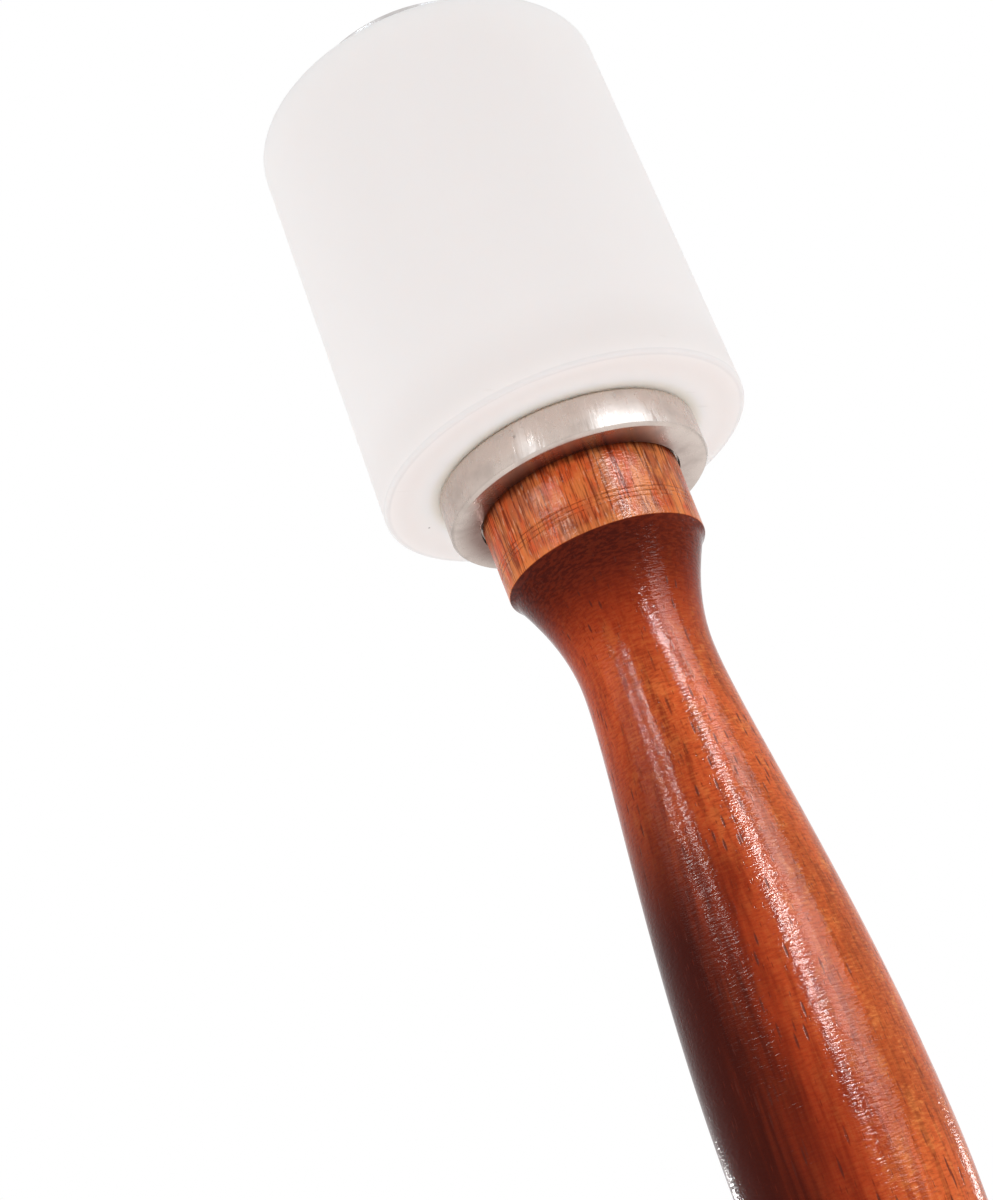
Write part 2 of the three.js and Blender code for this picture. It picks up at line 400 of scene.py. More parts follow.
class Finish(Nodes):
    """One procedural material. Its patterns read Object coordinates, in metres."""

    def __init__(self, name):
        self.material = bpy.data.materials.new(name)
        self.material.use_nodes = True
        super().__init__(self.material.node_tree)
        self.place = self.node("ShaderNodeTexCoord", out="Object")

    def axes(self):
        """The x, y and z of the place on the piece."""
        split = self.node("ShaderNodeSeparateXYZ", sockets={"Vector": self.place})
        outputs = split.socket.node.outputs
        return [Field(self, outputs[name]) for name in "XYZ"]

    def radius(self):
        """Distance from the axis of the mallet."""
        x, y, _ = self.axes()
        return self.math("SQRT", x * x + y * y)

    def at(self, x, y, z):
        """A vector of three fields or numbers."""
        return self.node("ShaderNodeCombineXYZ", sockets={"X": x, "Y": y, "Z": z})

    def cells(self, across, along, shift=0.0, lean=0.0):
        """Place in cells of the pattern, which are longer or shorter along the axis."""
        sockets = {
            "Vector": self.place,
            "Location": (shift * across, shift * across, shift * along),
            "Rotation": (lean, lean, 0),
            "Scale": (across, across, along),
        }
        return self.node("ShaderNodeMapping", {"vector_type": "TEXTURE"}, sockets)

    def noise(self, vector, detail):
        sockets = {"Vector": vector, "Scale": 1, "Detail": detail}
        return self.node("ShaderNodeTexNoise", sockets=sockets)

    def grain(self, across, along, detail, shift=0.0, lean=0.0):
        """Noise in cells."""
        return self.noise(self.cells(across, along, shift, lean), detail)

    def spots(self, across, along, shift, lean=0.0):
        """Distance to the nearest of scattered points, one in each cell."""
        sockets = {"Vector": self.cells(across, along, shift, lean), "Scale": 1}
        return self.node("ShaderNodeTexVoronoi", {"feature": "F1"}, sockets)

    def fade(self, value, start, end):
        """0 as far as start, 1 from end on, and smooth between them."""
        sockets = {"Value": value, "From Min": start, "From Max": end}
        return self.node("ShaderNodeMapRange", {"interpolation_type": "SMOOTHSTEP"}, sockets)

    def layers(self, ground, *layers):
        """Colour of a ground under layers, each a mask and its colour: a field or three numbers."""
        for mask, tint in layers:
            under, over = (c if isinstance(c, Field) else (*c, 1) for c in (ground, tint))
            sockets = {MIX_FACTOR: mask, MIX_A: under, MIX_B: over}
            ground = self.node("ShaderNodeMix", {"data_type": "RGBA"}, sockets, out=MIX_COLOUR)
        return ground

    def relief(self, height):
        """Normal of a surface with this height, in metres."""
        return self.node("ShaderNodeBump", sockets={"Height": height, "Distance": 1.0})

    def surface(self, **sockets):
        """Ends the material in a Principled shader with these sockets."""
        named = {name.replace("_", " "): value for name, value in sockets.items()}
        shader = self.node("ShaderNodeBsdfPrincipled", sockets=named)
        self.node("ShaderNodeOutputMaterial", sockets={"Surface": shader})
        return self


def nylon_finish(colours):
    """Satin white nylon, a little cream where it has aged, with specks, faint tool marks, painted shade on
    its foot and lower rim, and painted light round the collar.
    """
    finish = Finish("white_nylon")
    x, y, z = finish.axes()
    radius = finish.radius()
    low, outer, collar = bottom("nylon_head"), reach("nylon_head"), reach("base_collar")

    near_foot = finish.fade(z, low + 13 * MM, low - 2 * MM)
    on_face = finish.fade(z, low + 0.5 * MM, low + 0.1 * MM)
    at_corner = finish.fade(z, low + 0.8 * MM, low + 0.4 * MM)
    on_rim = finish.fade(radius, outer - 1.2 * MM, outer - 0.5 * MM) * at_corner
    to_rim = finish.math("MAXIMUM", 1 - on_face, finish.fade(radius, collar + 0.75 * MM, outer))
    # Painted light on the lower face round the collar
    collar_painted_light = on_face * finish.fade(radius, collar + 5.75 * MM, collar + 0.75 * MM)
    by_collar = on_face * finish.fade(radius, collar + 1.95 * MM, collar + 0.15 * MM)

    clouds = finish.grain(19 * MM, 26 * MM, detail=3)
    specks = finish.fade(finish.spots(5.5 * MM, 5.5 * MM, shift=1.9), 0.052, 0.030)
    specks = specks * finish.fade(z, low + 10 * MM, low)
    scuffs = finish.fade(finish.grain(9 * MM, 1.1 * MM, shift=7.7, lean=0.5, detail=4), 0.70, 0.78)
    body = finish.layers(
        colours.nylon,
        (near_foot * 0.14 + clouds * 0.10, colours.nylon_warm),
        # Painted shade on the foot of the head and on its lower rim
        (near_foot * to_rim * 0.42 + on_rim * 0.85, colours.nylon_painted_shade),
        (collar_painted_light * 0.70, colours.nylon_painted_light),
        (by_collar * 0.60, colours.nylon_cream),
        (specks * 0.80, colours.nylon_speck),
        (scuffs * 0.12 * near_foot, colours.nylon_scuff),
    )

    mark, drift = 0.35 * MM, 30
    tool_marks = finish.noise(finish.at(x * drift, y * drift, z / mark), detail=1)
    grain = finish.grain(0.5 * MM, 0.5 * MM, detail=2)
    height = tool_marks * (1.5 * MICRON) + grain * (2.5 * MICRON) - scuffs * (8 * MICRON)
    return finish.surface(
        Base_Color=body,
        Roughness=0.55 + clouds * 0.12 - scuffs * 0.06,
        Normal=finish.relief(height),
        Specular_IOR_Level=0.16,
        Subsurface_Weight=0.8,
        Subsurface_Radius=(1, 0.9, 0.85),
        Subsurface_Scale=8 * MM,
    )


def turned_metal(name, tint, outer, roughness, depth=1.1 * MICRON, dirt=0.25):
    """Metal off the lathe: fine rings, upright streaks on the outer wall, clouding and nicks, painted shade
    on its left side and lower face, and dirt and painted shade beside the wood.
    """
    finish = Finish(name)
    x, y, z = finish.axes()
    radius = finish.radius()
    foot = bottom("base_collar")

    ring, band, drift = 0.14 * MM, 1.1 * MM, 20
    rings = finish.noise(finish.at(radius / ring, z / ring, x * drift), detail=2)
    bands = finish.noise(finish.at(radius / band, z / band, y * drift), detail=2)
    clouds = finish.grain(4 * MM, 3 * MM, shift=2.1, detail=5)
    dents = finish.grain(2.6 * MM, 3.2 * MM, shift=6.4, lean=0.3, detail=3)
    upright = finish.grain(1.3 * MM, 30 * MM, shift=4.8, lean=0.12, detail=4)
    hairs = finish.grain(0.3 * MM, 14 * MM, shift=2.7, lean=0.12, detail=2)
    nicks = finish.fade(finish.spots(8 * MM, 8 * MM, shift=5.2), 0.045, 0.02)
    scratches = finish.grain(0.16 * MM, 7 * MM, shift=1.3, lean=1.1, detail=1)
    scratches = finish.fade(scratches, 0.74, 0.80)

    on_wall = finish.fade(radius, outer - 0.7 * MM, outer - 0.2 * MM)
    on_foot = finish.fade(z, foot + MM, foot + 0.3 * MM)
    # Dirt and painted shade beside the wood, darker except on the right side
    beside_wood = on_foot * finish.fade(radius, 21.6 * MM, 16.8 * MM)
    grime_and_shade = beside_wood * (0.15 + clouds * 0.3 + finish.fade(x, 17 * MM, 8 * MM) * 0.66)
    # Painted shade on the left side
    shaded_left = finish.fade(x, -6 * MM, -15 * MM)
    # Darker tone from clouding and nicks, and painted shade on the left side and the lower face
    dull = dirt * finish.fade(clouds, 0.42, 0.72) + nicks * 0.6 + shaded_left * 0.14 + on_foot * 0.14
    body = finish.layers(
        tint,
        (dull, tuple(part * 0.45 for part in tint)),
        (grime_and_shade, bpy.context.scene.mallet_colours.grime_and_shade),
    )

    height = rings * depth + bands * (depth * 2) + dents * (depth * 10)
    height = height + (upright + hairs * 0.3) * on_wall * (depth * 85)
    height = height - nicks * (6 * MICRON) - scratches * (1.5 * MICRON)
    streaked = (upright - 0.5) * on_wall
    return finish.surface(
        Base_Color=body,
        Metallic=1.0,
        Roughness=roughness + (bands - 0.5) * 0.10 + (clouds - 0.5) * 0.30 + streaked * 0.35,
        Normal=finish.relief(height),
        Anisotropic=0.7,
        Anisotropic_Rotation=0.25,
    )


def band_foot_height(handle):
    return bottom("base_collar") - handle.band_height


def turned_lines(handle):
    """Heights of the three fine lines turned into the band."""
    middle = bottom("base_collar") - handle.band_height * handle.line_drop
    return [middle + step * handle.line_spacing for step in (-1, 0, 1)]


def wood_finish(colours, handle):
    """Stained hardwood under a thick gloss lacquer, with pores, figure and a paler band, painted shade on its
    cove and left side, and painted light and glints on its right side.
    """
    finish = Finish("lacquered_hardwood")
    x, _, z = finish.axes()
    band_foot = band_foot_height(handle)
    lean = math.radians(1.6)

    patches = finish.grain(7 * MM, 22 * MM, shift=4.0, lean=lean, detail=2)
    mottle = finish.grain(2.6 * MM, 4.5 * MM, shift=6.0, detail=3)
    streaks = finish.grain(1.1 * MM, 24 * MM, shift=9.0, lean=lean, detail=5)
    fibres = finish.grain(0.22 * MM, 5 * MM, shift=2.0, lean=lean, detail=2)
    figure = finish.grain(1.1 * MM, 0.32 * MM, shift=8.0, detail=3)
    ticks = finish.grain(1.2 * MM, 0.36 * MM, shift=1.5, detail=2)
    dimples = finish.grain(0.55 * MM, 0.45 * MM, shift=7.1, detail=2)
    ripple = finish.grain(1.4 * MM, 3.0 * MM, shift=0.7, lean=lean, detail=2)
    pores = finish.fade(finish.spots(0.95 * MM, 7 * MM, shift=3.6, lean=lean), 0.25, 0.12)
    pores = pores * (0.45 + finish.fade(patches, 0.42, 0.58) * 0.55)
    fine_pores = finish.fade(finish.spots(0.50 * MM, 3.2 * MM, shift=5.5, lean=lean), 0.22, 0.10)

    # Where the band lies, and the painted shade and shadow of the cove, of the lower left of the grip and of
    # its left side
    on_band = finish.fade(z, band_foot - 0.1 * MM, band_foot + 0.1 * MM)
    off_band = 1 - on_band
    cove_shade = finish.fade(z, band_foot - 28 * MM, band_foot - 6 * MM) * off_band
    # Painted shadow in the cove
    cove_shadow = finish.fade(z, band_foot - 16 * MM, band_foot - 2 * MM) * off_band
    low_grip = finish.fade(z, 92 * MM, 54 * MM) * off_band
    wavering = x + (patches - 0.5) * (7 * MM) + (streaks - 0.5) * (9 * MM)
    low_left_shade = finish.fade(wavering, 12 * MM, -2 * MM) * low_grip
    # Painted shadow on the lower left of the grip
    lower_left_shadow = finish.fade(wavering, 4 * MM, -10 * MM) * low_grip
    left_shade = finish.fade(wavering, 0, -9 * MM) * off_band * 0.66
    deepest_shade = finish.math("MAXIMUM", finish.math("MAXIMUM", low_left_shade, cove_shade), left_shade)

    # Golden figure, partly painted glints, stronger on the lit right side
    golden_lit_right = 0.26 + finish.fade(mottle, 0.46, 0.64) * finish.fade(x, -2 * MM, 9 * MM) * 0.45
    # Strength of the painted shadow in the cove, weaker on the lit right side
    cove_shadow_share = 0.80 + finish.fade(figure, 0.60, 0.40) * 0.14 - finish.fade(x, 2 * MM, 12 * MM) * 0.16
    body = finish.layers(
        colours.wood_mid,
        (finish.fade(patches, 0.58, 0.36) * 0.35, colours.wood_dark),
        (finish.fade(streaks, 0.50, 0.36) * 0.40, colours.wood_dark),
        (finish.fade(mottle, 0.54, 0.72) * 0.35, colours.wood_light),
        (finish.fade(fibres, 0.48, 0.72) * 0.22, colours.wood_light),
        (finish.fade(figure, 0.48, 0.72) * golden_lit_right, colours.wood_light),
        (finish.fade(figure, 0.50, 0.32) * 0.38, colours.wood_dark),
        # Painted light on the right side
        (finish.fade(x, MM, 11 * MM) * 0.12, colours.wood_light),
        # Painted shade of the cove and of the left side
        (deepest_shade * 0.80, colours.wood_painted_shade),
        # Painted shadow on the lower left of the grip and in the cove
        (lower_left_shadow * 0.96, colours.wood_shadow_and_stain),
        (cove_shadow * cove_shadow_share, colours.wood_shadow_and_stain),
        (on_band, band_colour(finish, colours, handle, mottle, fibres, lean)),
        (fine_pores * 0.55, colours.wood_dark),
        (pores * 0.80 * (1 - on_band * 0.5), colours.wood_pore),
    )

    # In millimetres
    height = ripple * 0.034 + ticks * 0.072 + dimples * 0.020 + fibres * (on_band * 0.020 + 0.003)
    height = height - pores * 0.020 - fine_pores * 0.008
    return finish.surface(
        Base_Color=body,
        Roughness=0.09 + patches * 0.06 + pores * 0.25 + on_band * 0.06 + lower_left_shadow * 0.08,
        Normal=finish.relief(height * MM),
        Specular_IOR_Level=0.06,
    )


def band_colour(finish, colours, handle, mottle, fibres, lean):
    """Paler wood of the band: upright lines, pale flecks partly painted as sheen, darker turned lines,
    painted light on its right side, and dirt and painted shade under the collar.
    """
    x, _, z = finish.axes()
    band_foot, band_head = band_foot_height(handle), bottom("base_collar")
    lines = finish.grain(0.42 * MM, 8 * MM, shift=11.0, lean=lean, detail=4)
    broad = finish.grain(2.0 * MM, 12 * MM, shift=12.0, detail=4)
    flecks = finish.grain(0.5 * MM, 2.2 * MM, shift=13.0, detail=3)
    breaks = finish.grain(2.6 * MM, 1.6 * MM, shift=14.0, detail=3)
    # More golden on the lit right side: painted light
    golden_lit_right = 0.50 + finish.fade(x, 2 * MM, 12 * MM) * 0.25
    body = finish.layers(
        colours.wood_band,
        (finish.fade(broad, 0.40, 0.60), colours.wood_mid),
        (finish.fade(broad, 0.42, 0.30) * 0.55, colours.wood_dark),
        (finish.fade(mottle, 0.44, 0.62) * golden_lit_right, colours.wood_light),
        (finish.fade(lines, 0.50, 0.64) * 0.75, colours.wood_dark),
        (finish.fade(fibres, 0.54, 0.70) * 0.40, colours.wood_dark),
        # Pale fibres, partly painted sheen
        (finish.fade(flecks, 0.58, 0.70) * 0.40, colours.wood_fleck_sheen),
    )
    for line in turned_lines(handle):
        away = finish.math("ABSOLUTE", z + (breaks - 0.5) * (0.5 * MM) - line)
        groove = finish.fade(away, 0.14 * MM, 0.05 * MM) * finish.fade(breaks, 0.44, 0.60)
        body = finish.layers(body, (groove * 0.55, colours.wood_dark))
    lower_strip = finish.fade(z, band_foot + 1.6 * MM, band_foot + 0.6 * MM)
    stained = z + (breaks - 0.5) * (2.4 * MM) + (lines - 0.5) * (2.4 * MM)
    # Dirt and painted shade at the top of the band, under the collar
    grimy_and_shaded = finish.fade(stained, band_head - 1.5 * MM, band_head + 0.2 * MM)
    return finish.layers(
        body,
        (lower_strip * 0.30, colours.wood_light),
        (grimy_and_shaded * 0.80, colours.wood_shadow_and_stain),
    )


def floor_finish(colours):
    """Plain pale matt floor with a barely visible grain."""
    finish = Finish("pale_floor")
    grain = finish.grain(40 * MM, 40 * MM, detail=3)
    paler = tuple(part * 1.02 for part in colours.floor)
    return finish.surface(
        Base_Color=finish.layers(colours.floor, (grain, paler)),
        Roughness=0.7 + grain * 0.1,
        Specular_IOR_Level=0.2,
    )


class MALLET_OT_nylon_head(bpy.types.Operator):
    """Turn the nylon head, with its rounded rims, its bore and the pockets for the hubs"""

    bl_idname = "mallet.nylon_head"
    bl_label = "Nylon Head"
    bl_options = {"REGISTER", "UNDO"}

    def execute(self, context):
        sizes = context.scene.mallet_head_sizes
        low, high, outer = bottom("nylon_head"), top("nylon_head"), reach("nylon_head")
        pocket = sizes.hub_radius + sizes.fit_gap
        lower_pocket = top("base_collar") + sizes.fit_gap
        upper_pocket = bottom("top_plate") - sizes.fit_gap
        head = turn(
            "head_nylon",
            [
                (pocket, low),
                (outer, low),
                (outer, high),
                (pocket, high),
                (pocket, upper_pocket),
                (sizes.bore_radius, upper_pocket),
                (sizes.bore_radius, lower_pocket),
                (pocket, lower_pocket),
            ],
            sides=HEAD_SIDES,
            bored=True,
        )
        round_outer_rims(head, outer, sizes.head_rim, segments=6)
        break_edges(head, sizes.edge_break, sharper_than=math.radians(60))
        shade(head)
        hand_over(head, "nylon_head", nylon_finish(context.scene.mallet_colours))
        return {"FINISHED"}


def round_outer_rims(piece, outer, radius, segments):
    """Rounds the two rims of the outermost wall of a turned piece."""
    edit(piece, "EDGE")
    mesh = bmesh.from_edit_mesh(piece.data)
    for edge in mesh.edges:
        ends = [point.co for point in edge.verts]
        level = abs(ends[0].z - ends[1].z) < TOLERANCE
        outermost = all(end.xy.length > outer - TOLERANCE for end in ends)
        edge.select_set(level and outermost)
    bmesh.update_edit_mesh(piece.data)
    bpy.ops.mesh.bevel(offset=radius, segments=segments, profile=0.5, affect="EDGES")
    close_edit()


class MALLET_OT_end_plates(bpy.types.Operator):
    """Turn the two aluminium plates: the one over the head and the collar under it"""

    bl_idname = "mallet.end_plates"
    bl_label = "End Plates"
    bl_options = {"REGISTER", "UNDO"}

    def execute(self, context):
        sizes = context.scene.mallet_head_sizes
        colours = context.scene.mallet_colours
        for name, node, outline, tint in (
            ("plate_top", "top_plate", self.plate_outline(sizes), colours.aluminium_clean),
            ("collar_turned", "base_collar", self.collar_outline(sizes), colours.aluminium),
        ):
            finish = turned_metal(f"aluminium_{node}", tint, reach(node), roughness=0.28)
            plate = turn(name, outline, sides=HEAD_SIDES, bored=True)
            break_edges(plate, sizes.edge_break)
            shade(plate)
            hand_over(plate, node, finish, METAL)
        return {"FINISHED"}

    def plate_outline(self, sizes):
        low, seat, high = bottom("top_plate"), top("nylon_head"), top("top_plate")
        outer, hub, chamfer = reach("top_plate"), sizes.hub_radius, sizes.plate_chamfer
        counterbore, floor = sizes.counterbore_radius, bottom("flat_washer")
        return [
            (sizes.bore_radius, low),
            (hub - chamfer, low),
            (hub, low + chamfer),
            (hub, seat),
            (outer - chamfer, seat),
            (outer, seat + chamfer),
            (outer, high - chamfer),
            (outer - chamfer, high),
            (counterbore + chamfer, high),
            (counterbore, high - chamfer),
            (counterbore, floor),
            (sizes.bore_radius, floor),
        ]

    def collar_outline(self, sizes):
        low, face, high = bottom("base_collar"), bottom("nylon_head"), top("base_collar")
        outer, hub, chamfer = reach("base_collar"), sizes.hub_radius, sizes.plate_chamfer
        seat_radius, seat = reach("wooden_handle") + sizes.fit_gap, top("wooden_handle")
        return [
            (seat_radius, low),
            (outer - chamfer, low),
            (outer, low + chamfer),
            (outer, face - chamfer),
            (outer - chamfer, face),
            (hub, face),
            (hub, high - chamfer),
            (hub - chamfer, high),
            (sizes.bore_radius, high),
            (sizes.bore_radius, seat),
            (seat_radius, seat),
        ]


def sweep(start, end, leave_share, arrive_share, steps):
    """Curve between two outline points. Its pulls are shares of the radial and axial spans."""
    span = end - start
    leave = start + span * Vector(leave_share)
    arrive = end - span * Vector(arrive_share)
    return interpolate_bezier(start, leave, arrive, end, steps + 1)[1:]


def handle_outline(sizes):
    """Outline of the handle from its foot to its top: butt, swell, waist, cove, lip and band."""
    band_top, handle_top = reach("wooden_handle"), top("wooden_handle")
    collar_foot = bottom("base_collar")
    foot = sizes.butt_radius - sizes.butt_round
    butt = Vector((sizes.butt_radius, sizes.butt_round))
    swell = Vector((sizes.swell_radius, collar_foot * (1 - sizes.swell_drop)))
    waist = Vector((sizes.waist_radius, collar_foot * (1 - sizes.waist_drop)))
    band_foot = Vector((sizes.band_low_radius, band_foot_height(sizes)))
    lip = band_foot - Vector((sizes.band_lip, sizes.band_lip))
    wall = Vector((band_top, handle_top - sizes.band_edge_break))

    outline = [(foot, 0)]
    butt_steps = 12
    for step in range(1, butt_steps + 1):
        turned = math.pi / 2 * step / butt_steps
        height = sizes.butt_round * (1 - math.cos(turned))
        outline.append((foot + sizes.butt_round * math.sin(turned), height))
    outline += sweep(butt, swell, (0.5, 0.3), (0, 0.5), 16)
    outline += sweep(swell, waist, (0, 0.43), (0, 0.17), 48)
    outline += sweep(waist, lip, (0, 0.43), (0.36, 0.2), 28)
    outline.append(band_foot)
    for line in turned_lines(sizes):
        along = (line - band_foot.y) / (wall.y - band_foot.y)
        radius = band_foot.lerp(wall, along).x
        outline.append((radius, line - sizes.line_half_width))
        outline.append((radius - sizes.line_depth, line))
        outline.append((radius, line + sizes.line_half_width))
    outline.append(wall)
    outline.append((band_top - sizes.band_edge_break, handle_top))
    return [tuple(point) for point in outline]


class MALLET_OT_handle(bpy.types.Operator):
    """Turn the wooden handle and bore its top for the threaded insert and the bolt"""

    bl_idname = "mallet.handle"
    bl_label = "Wooden Handle"
    bl_options = {"REGISTER", "UNDO"}

    def execute(self, context):
        sizes = context.scene.mallet_handle_sizes
        handle_top = top("wooden_handle")
        bore = context.scene.mallet_head_sizes.bore_radius
        insert_foot = bottom("threaded_insert")
        bore_foot = bottom("draw_bolt") - sizes.bolt_room
        outline = handle_outline(sizes) + [
            (sizes.insert_radius, handle_top),
            (sizes.insert_radius, insert_foot),
            (bore, insert_foot),
            (bore, bore_foot),
        ]
        handle = turn("handle_turned", outline, sides=HANDLE_SIDES)
        break_edges(handle, sizes.edge_round, segments=3)
        shade(handle)
        finish = wood_finish(context.scene.mallet_colours, sizes)
        hand_over(handle, "wooden_handle", finish, LACQUER)
        return {"FINISHED"}


def cut_thread(piece, radius, pitch, depth, low, high):
    """Gives the wall between two heights a helical thread, by scaling points of equal phase."""
    flat = 0.15  # of the way from crest to root, at either end

    def phase(point):
        around = math.atan2(point.y, point.x) / math.tau
        return round((point.z / pitch - around) * THREAD_SIDES) % THREAD_SIDES

    edit(piece, "VERT")
    for number in range(THREAD_SIDES):
        fall = abs(number / THREAD_SIDES - 0.5) * 2
        share_of_depth = min(1, max(0, fall * (1 + 2 * flat) - flat))
        select_points(
            piece,
            lambda point: low < point.z < high
            and abs(point.xy.length - radius) < TOLERANCE
            and phase(point) == number,
        )
        scale_about_axis(1 - depth * share_of_depth / radius)
    close_edit()


class MALLET_OT_draw_bolt(bpy.types.Operator):
    """Turn the cap screw, cut its hexagonal socket and its thread"""

    bl_idname = "mallet.draw_bolt"
    bl_label = "Draw Bolt"
    bl_options = {"REGISTER", "UNDO"}

    def execute(self, context):
        sizes = context.scene.mallet_bolt_sizes
        low, high, head = bottom("draw_bolt"), top("draw_bolt"), reach("draw_bolt")
        seat = high - sizes.head_height
        shank = sizes.thread_radius
        start = low + sizes.tip_chamfer
        rise = sizes.thread_pitch / THREAD_STEPS
        count = int(sizes.thread_length / rise)
        bolt = turn(
            "bolt_draw",
            [
                (shank - sizes.tip_chamfer, low),
                *((shank, start + step * rise) for step in range(count)),
                (shank, seat),
                (head, seat),
                (head, high - sizes.head_chamfer),
                (head - sizes.head_chamfer, high),
            ],
            sides=THREAD_SIDES,
        )
        thread_end = start + count * rise - sizes.thread_pitch
        cut_thread(bolt, shank, sizes.thread_pitch, sizes.thread_depth, start, thread_end)
        corner = sizes.key_width / 2 / math.cos(math.pi / 6)
        deselect_all()
        bpy.ops.mesh.primitive_cylinder_add(
            vertices=6, radius=corner, depth=sizes.key_depth * 2, location=(0, 0, high)
        )
        carve(bolt, bpy.context.object)
        shade(bolt)
        tint = context.scene.mallet_colours.zinc
        finish = turned_metal("bright_zinc", tint, head, roughness=0.24, depth=0.7 * MICRON, dirt=0.2)
        hand_over(bolt, "draw_bolt", finish, METAL)
        return {"FINISHED"}


class MALLET_OT_washers(bpy.types.Operator):
    """Turn the flat washer and the split spring washer under the head of the bolt"""

    bl_idname = "mallet.washers"
    bl_label = "Washers"
    bl_options = {"REGISTER", "UNDO"}

    def execute(self, context):
        sizes = context.scene.mallet_bolt_sizes
        colours = context.scene.mallet_colours
        flat = self.ring("washer_flat", "flat_washer", sizes)
        shade(flat)
        outer = reach("flat_washer")
        finish = turned_metal("zinc_washer", colours.zinc, outer, roughness=0.30, dirt=0.3)
        hand_over(flat, "flat_washer", finish)
        lock = self.ring("washer_lock", "lock_washer", sizes)
        outer = reach("lock_washer")
        middle = (bottom("lock_washer") + top("lock_washer")) / 2
        deselect_all()
        bpy.ops.mesh.primitive_cube_add(
            size=1,
            location=((outer + sizes.washer_bore) / 2, 0, middle),
            rotation=(sizes.slit_slant, 0, 0),
            scale=(outer, sizes.slit_width, outer),
        )
        carve(lock, bpy.context.object)
        shade(lock)
        steel = colours.spring_steel
        finish = turned_metal("dull_spring_steel", steel, outer, roughness=0.38, dirt=0.35)
        hand_over(lock, "lock_washer", finish)
        return {"FINISHED"}

    def ring(self, name, node, sizes):
        low, high, outer = bottom(node), top(node), reach(node)
        ring = turn(
            name,
            [(sizes.washer_bore, low), (outer, low), (outer, high), (sizes.washer_bore, high)],
            sides=WASHER_SIDES,
            bored=True,
        )
        break_edges(ring, (high - low) / 8, segments=3)
        return ring


class MALLET_OT_threaded_insert(bpy.types.Operator):
    """Turn the brass insert, with its outer thread and the slot that drives it in"""

    bl_idname = "mallet.threaded_insert"
    bl_label = "Threaded Insert"
    bl_options = {"REGISTER", "UNDO"}

    def execute(self, context):
        sizes = context.scene.mallet_bolt_sizes
        low, high = bottom("threaded_insert"), top("threaded_insert")
        outer, bore = reach("threaded_insert"), sizes.washer_bore
        rise = sizes.insert_pitch / THREAD_STEPS
        start = low + sizes.insert_chamfer
        wall_top = high - sizes.slot_depth
        count = int((wall_top - start) / rise)
        insert = turn(
            "insert_brass",
            [
                (bore, low),
                (outer - sizes.insert_chamfer, low),
                *((outer, start + step * rise) for step in range(count)),
                (outer, wall_top),
                (outer, high),
                (bore, high),
            ],
            sides=THREAD_SIDES,
            bored=True,
        )
        thread_end = wall_top - rise / 2
        cut_thread(insert, outer, sizes.insert_pitch, sizes.insert_thread, start, thread_end)
        deselect_all()
        bpy.ops.mesh.primitive_cube_add(
            size=1,
            location=(0, 0, high),
            scale=(outer * 3, sizes.slot_width, sizes.slot_depth * 2),
        )
        carve(insert, bpy.context.object)
        shade(insert)
        tint = context.scene.mallet_colours.brass
        finish = turned_metal("machined_brass", tint, outer, roughness=0.28, dirt=0.2)
        hand_over(insert, "threaded_insert", finish)
        return {"FINISHED"}


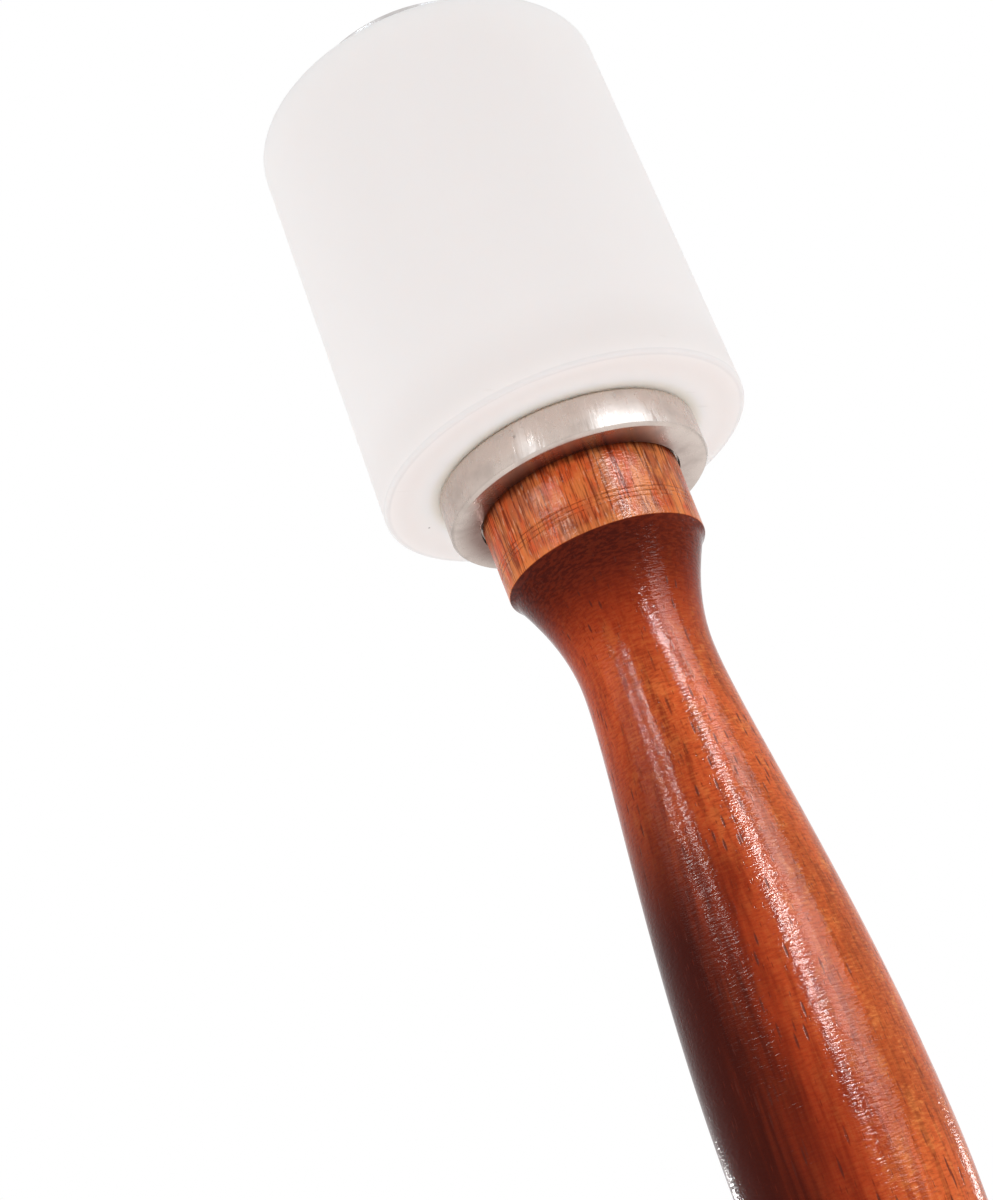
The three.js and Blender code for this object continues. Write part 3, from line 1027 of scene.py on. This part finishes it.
class MALLET_OT_stage(bpy.types.Operator):
    """Set up the camera, the pale floor, the room and the lamps"""

    bl_idname = "mallet.stage"
    bl_label = "Stage"
    bl_options = {"REGISTER", "UNDO"}

    def execute(self, context):
        stage = context.scene.mallet_stage
        self.add_camera(context, stage)
        self.add_floor(context)
        self.add_room(context, stage)
        self.add_lamps(stage)
        self.add_card(stage)
        context.scene.view_settings.view_transform = "Standard"
        return {"FINISHED"}

    def add_camera(self, context, stage):
        """Camera that sees the mallet at the roll, tilt and distance of the photograph."""
        joint = Vector((0, 0, bottom("nylon_head")))
        seen = Vector(stage.joint_place)
        # Directions of the mallet's axes as the camera has them: right, down, ahead
        lean = math.cos(stage.tilt)
        up = Vector((-math.sin(stage.roll) * lean, -math.cos(stage.roll) * lean, math.sin(stage.tilt)))
        back = (seen - up * seen.dot(up)).normalized()
        side = back.cross(up)
        to_frame = Matrix((side, back, up))
        right, down, ahead = to_frame.transposed()
        deselect_all()
        bpy.ops.object.camera_add()
        camera = bpy.context.object
        camera.name = "camera"
        camera.data.lens = stage.focal_length
        camera.data.sensor_width = 36
        camera.data.clip_start = 0.01
        turned = Matrix((right, -down, -ahead)).transposed().to_4x4()
        turned.translation = joint - to_frame @ seen
        camera.matrix_world = turned
        context.scene.camera = camera

    def add_floor(self, context):
        deselect_all()
        bpy.ops.mesh.primitive_circle_add(vertices=96, radius=FLOOR_RADIUS, fill_type="NGON")
        floor = bpy.context.object
        floor.name = "floor"
        floor.data.materials.append(floor_finish(context.scene.mallet_colours).material)

    def add_room(self, context, stage):
        """White to the camera and in reflections, and a softer even light on surfaces."""
        world = bpy.data.worlds.new("room")
        context.scene.world = world
        world.use_nodes = True
        room = Nodes(world.node_tree)
        seen = room.node("ShaderNodeLightPath", out="Is Camera Ray")
        for ray in ("Is Glossy Ray", "Is Transmission Ray"):
            seen = room.math("MAXIMUM", seen, room.node("ShaderNodeLightPath", out=ray))
        sockets = {"Value": seen, "To Min": stage.room_brightness, "To Max": 1}
        strength = room.node("ShaderNodeMapRange", sockets=sockets)
        sockets = {"Color": (1, 1, 1, 1), "Strength": strength}
        background = room.node("ShaderNodeBackground", sockets=sockets)
        room.node("ShaderNodeOutputWorld", sockets={"Surface": background})

    def add_lamps(self, stage):
        """Lamps that draw the streaks in the lacquer and the glints in the metal, and soft boxes."""
        strip, soft = stage.strip_brightness, stage.soft_brightness
        self.add_lamp("strip_right", 39, 36, 0.10, 0.38, 0.045, strip * 0.72, LACQUER)
        self.add_lamp("haze_right", 58, 33, 0.02, 0.42, 0.100, strip * 0.07, LACQUER)
        self.add_lamp("haze_wide_right", 66, 33, 0.02, 0.42, 0.220, strip * 0.045, LACQUER)
        self.add_lamp("strip_left", -26, 0, 0.284, 0.42, 0.008, strip * 1.9, LACQUER)
        self.add_lamp("strip_far_left", -43, 0, 0.288, 0.42, 0.008, strip * 1.5, LACQUER)
        self.add_lamp("haze_left", -62, 0, 0.260, 0.42, 0.240, strip * 0.012, LACQUER)
        self.add_lamp("low_back_right", 135, 0, 0.004, 0.024, 0.040, strip * 0.06, LACQUER, 0.25)
        self.add_lamp("low_back_left", -145, 0, 0.004, 0.034, 0.025, strip * 0.25, LACQUER, 0.25)
        self.add_lamp("glint_right", 38, 0, 0.15, 0.60, 0.090, soft * 2.4, METAL)
        self.add_lamp("glint_wide_right", 62, 0, 0.15, 0.60, 0.380, soft * 2.5, METAL)
        self.add_lamp("glint_far_right", 100, 0, 0.15, 0.60, 0.030, soft * 1.5, METAL)
        self.add_lamp("glint_left", -23, 0, 0.15, 0.60, 0.026, soft * 9.0, METAL)
        self.add_lamp("soft_right", 57, 31, 0.03, 0.45, 0.14, soft * 2.0)
        self.add_lamp("soft_left", -62, 0, 0.10, 0.50, 0.30, soft * 1.2)

    def add_lamp(
        self, name, azimuth, lean, foot, head, width, radiance, group=None, distance=LAMP_DISTANCE
    ):
        """Upright lamp that faces the axis, from the height of its foot to that of its head.

        Azimuth, from the front, and lean are in degrees, and sizes in metres. A lamp of a group
        shows only in the gloss of its pieces, and any other lamp in no gloss.
        """
        light = self.add_light(name, width, head - foot, radiance)
        if group == METAL:
            light.data.color = bpy.context.scene.mallet_stage.glint_tint
        turned = math.radians(azimuth)
        aside, ahead = distance * math.sin(turned), -distance * math.cos(turned)
        light.location = (aside, ahead, (foot + head) / 2)
        facing = Vector((-aside, -ahead, 0)).to_track_quat("-Z", "Y")
        leaning = Quaternion((0, 0, 1), -math.radians(lean))
        light.rotation_euler = (facing @ leaning).to_euler()
        if group:
            light.visible_diffuse = False
            light.light_linking.receiver_collection = gloss_group(group)
        else:
            light.visible_glossy = False

    def add_card(self, stage):
        """Wide soft light just over the floor that shines upwards, as a white card does."""
        card = self.add_light("card", CARD_SIDE, CARD_SIDE, stage.card_brightness)
        card.location = (0, 0, CARD_HEIGHT)
        card.rotation_euler = (math.pi, 0, 0)

    def add_light(self, name, width, height, radiance):
        """Area light of this radiance, unseen by the camera."""
        deselect_all()
        bpy.ops.object.light_add(type="AREA")
        light = bpy.context.object
        light.name = name
        light.data.shape = "RECTANGLE"
        light.data.size = width
        light.data.size_y = height
        light.data.energy = radiance * math.pi * width * height
        light.visible_camera = False
        return light


class MALLET_PT_panel(bpy.types.Panel):
    """Lists the pieces of the mallet and their sizes in the sidebar"""

    bl_idname = "MALLET_PT_panel"
    bl_label = "Leather Carving Mallet"
    bl_space_type = "VIEW_3D"
    bl_region_type = "UI"
    bl_category = "Mallet"

    def draw(self, context):
        layout = self.layout
        for operator in OPERATORS:
            layout.operator(operator.bl_idname)
        for group, attribute in GROUPS:
            box = layout.box()
            values = getattr(context.scene, attribute)
            for name in group.__annotations__:
                box.prop(values, name)


GROUPS = (
    (MalletHeadSizes, "mallet_head_sizes"),
    (MalletHandleSizes, "mallet_handle_sizes"),
    (MalletBoltSizes, "mallet_bolt_sizes"),
    (MalletColours, "mallet_colours"),
    (MalletStage, "mallet_stage"),
)
OPERATORS = (
    MALLET_OT_stage,
    MALLET_OT_nylon_head,
    MALLET_OT_end_plates,
    MALLET_OT_handle,
    MALLET_OT_draw_bolt,
    MALLET_OT_washers,
    MALLET_OT_threaded_insert,
)


def register():
    for group, attribute in GROUPS:
        bpy.utils.register_class(group)
        setattr(bpy.types.Scene, attribute, bpy.props.PointerProperty(type=group))
    for operator in OPERATORS:
        bpy.utils.register_class(operator)
    bpy.utils.register_class(MALLET_PT_panel)


def unregister():
    bpy.utils.unregister_class(MALLET_PT_panel)
    for operator in reversed(OPERATORS):
        bpy.utils.unregister_class(operator)
    for group, attribute in reversed(GROUPS):
        delattr(bpy.types.Scene, attribute)
        bpy.utils.unregister_class(group)


def main():
    """Builds the mallet and its stage."""
    register()
    bpy.ops.mallet.stage()
    bpy.ops.mallet.nylon_head()
    bpy.ops.mallet.end_plates()
    bpy.ops.mallet.handle()
    bpy.ops.mallet.draw_bolt()
    bpy.ops.mallet.washers()
    bpy.ops.mallet.threaded_insert()


if __name__ == "__main__":
    main()
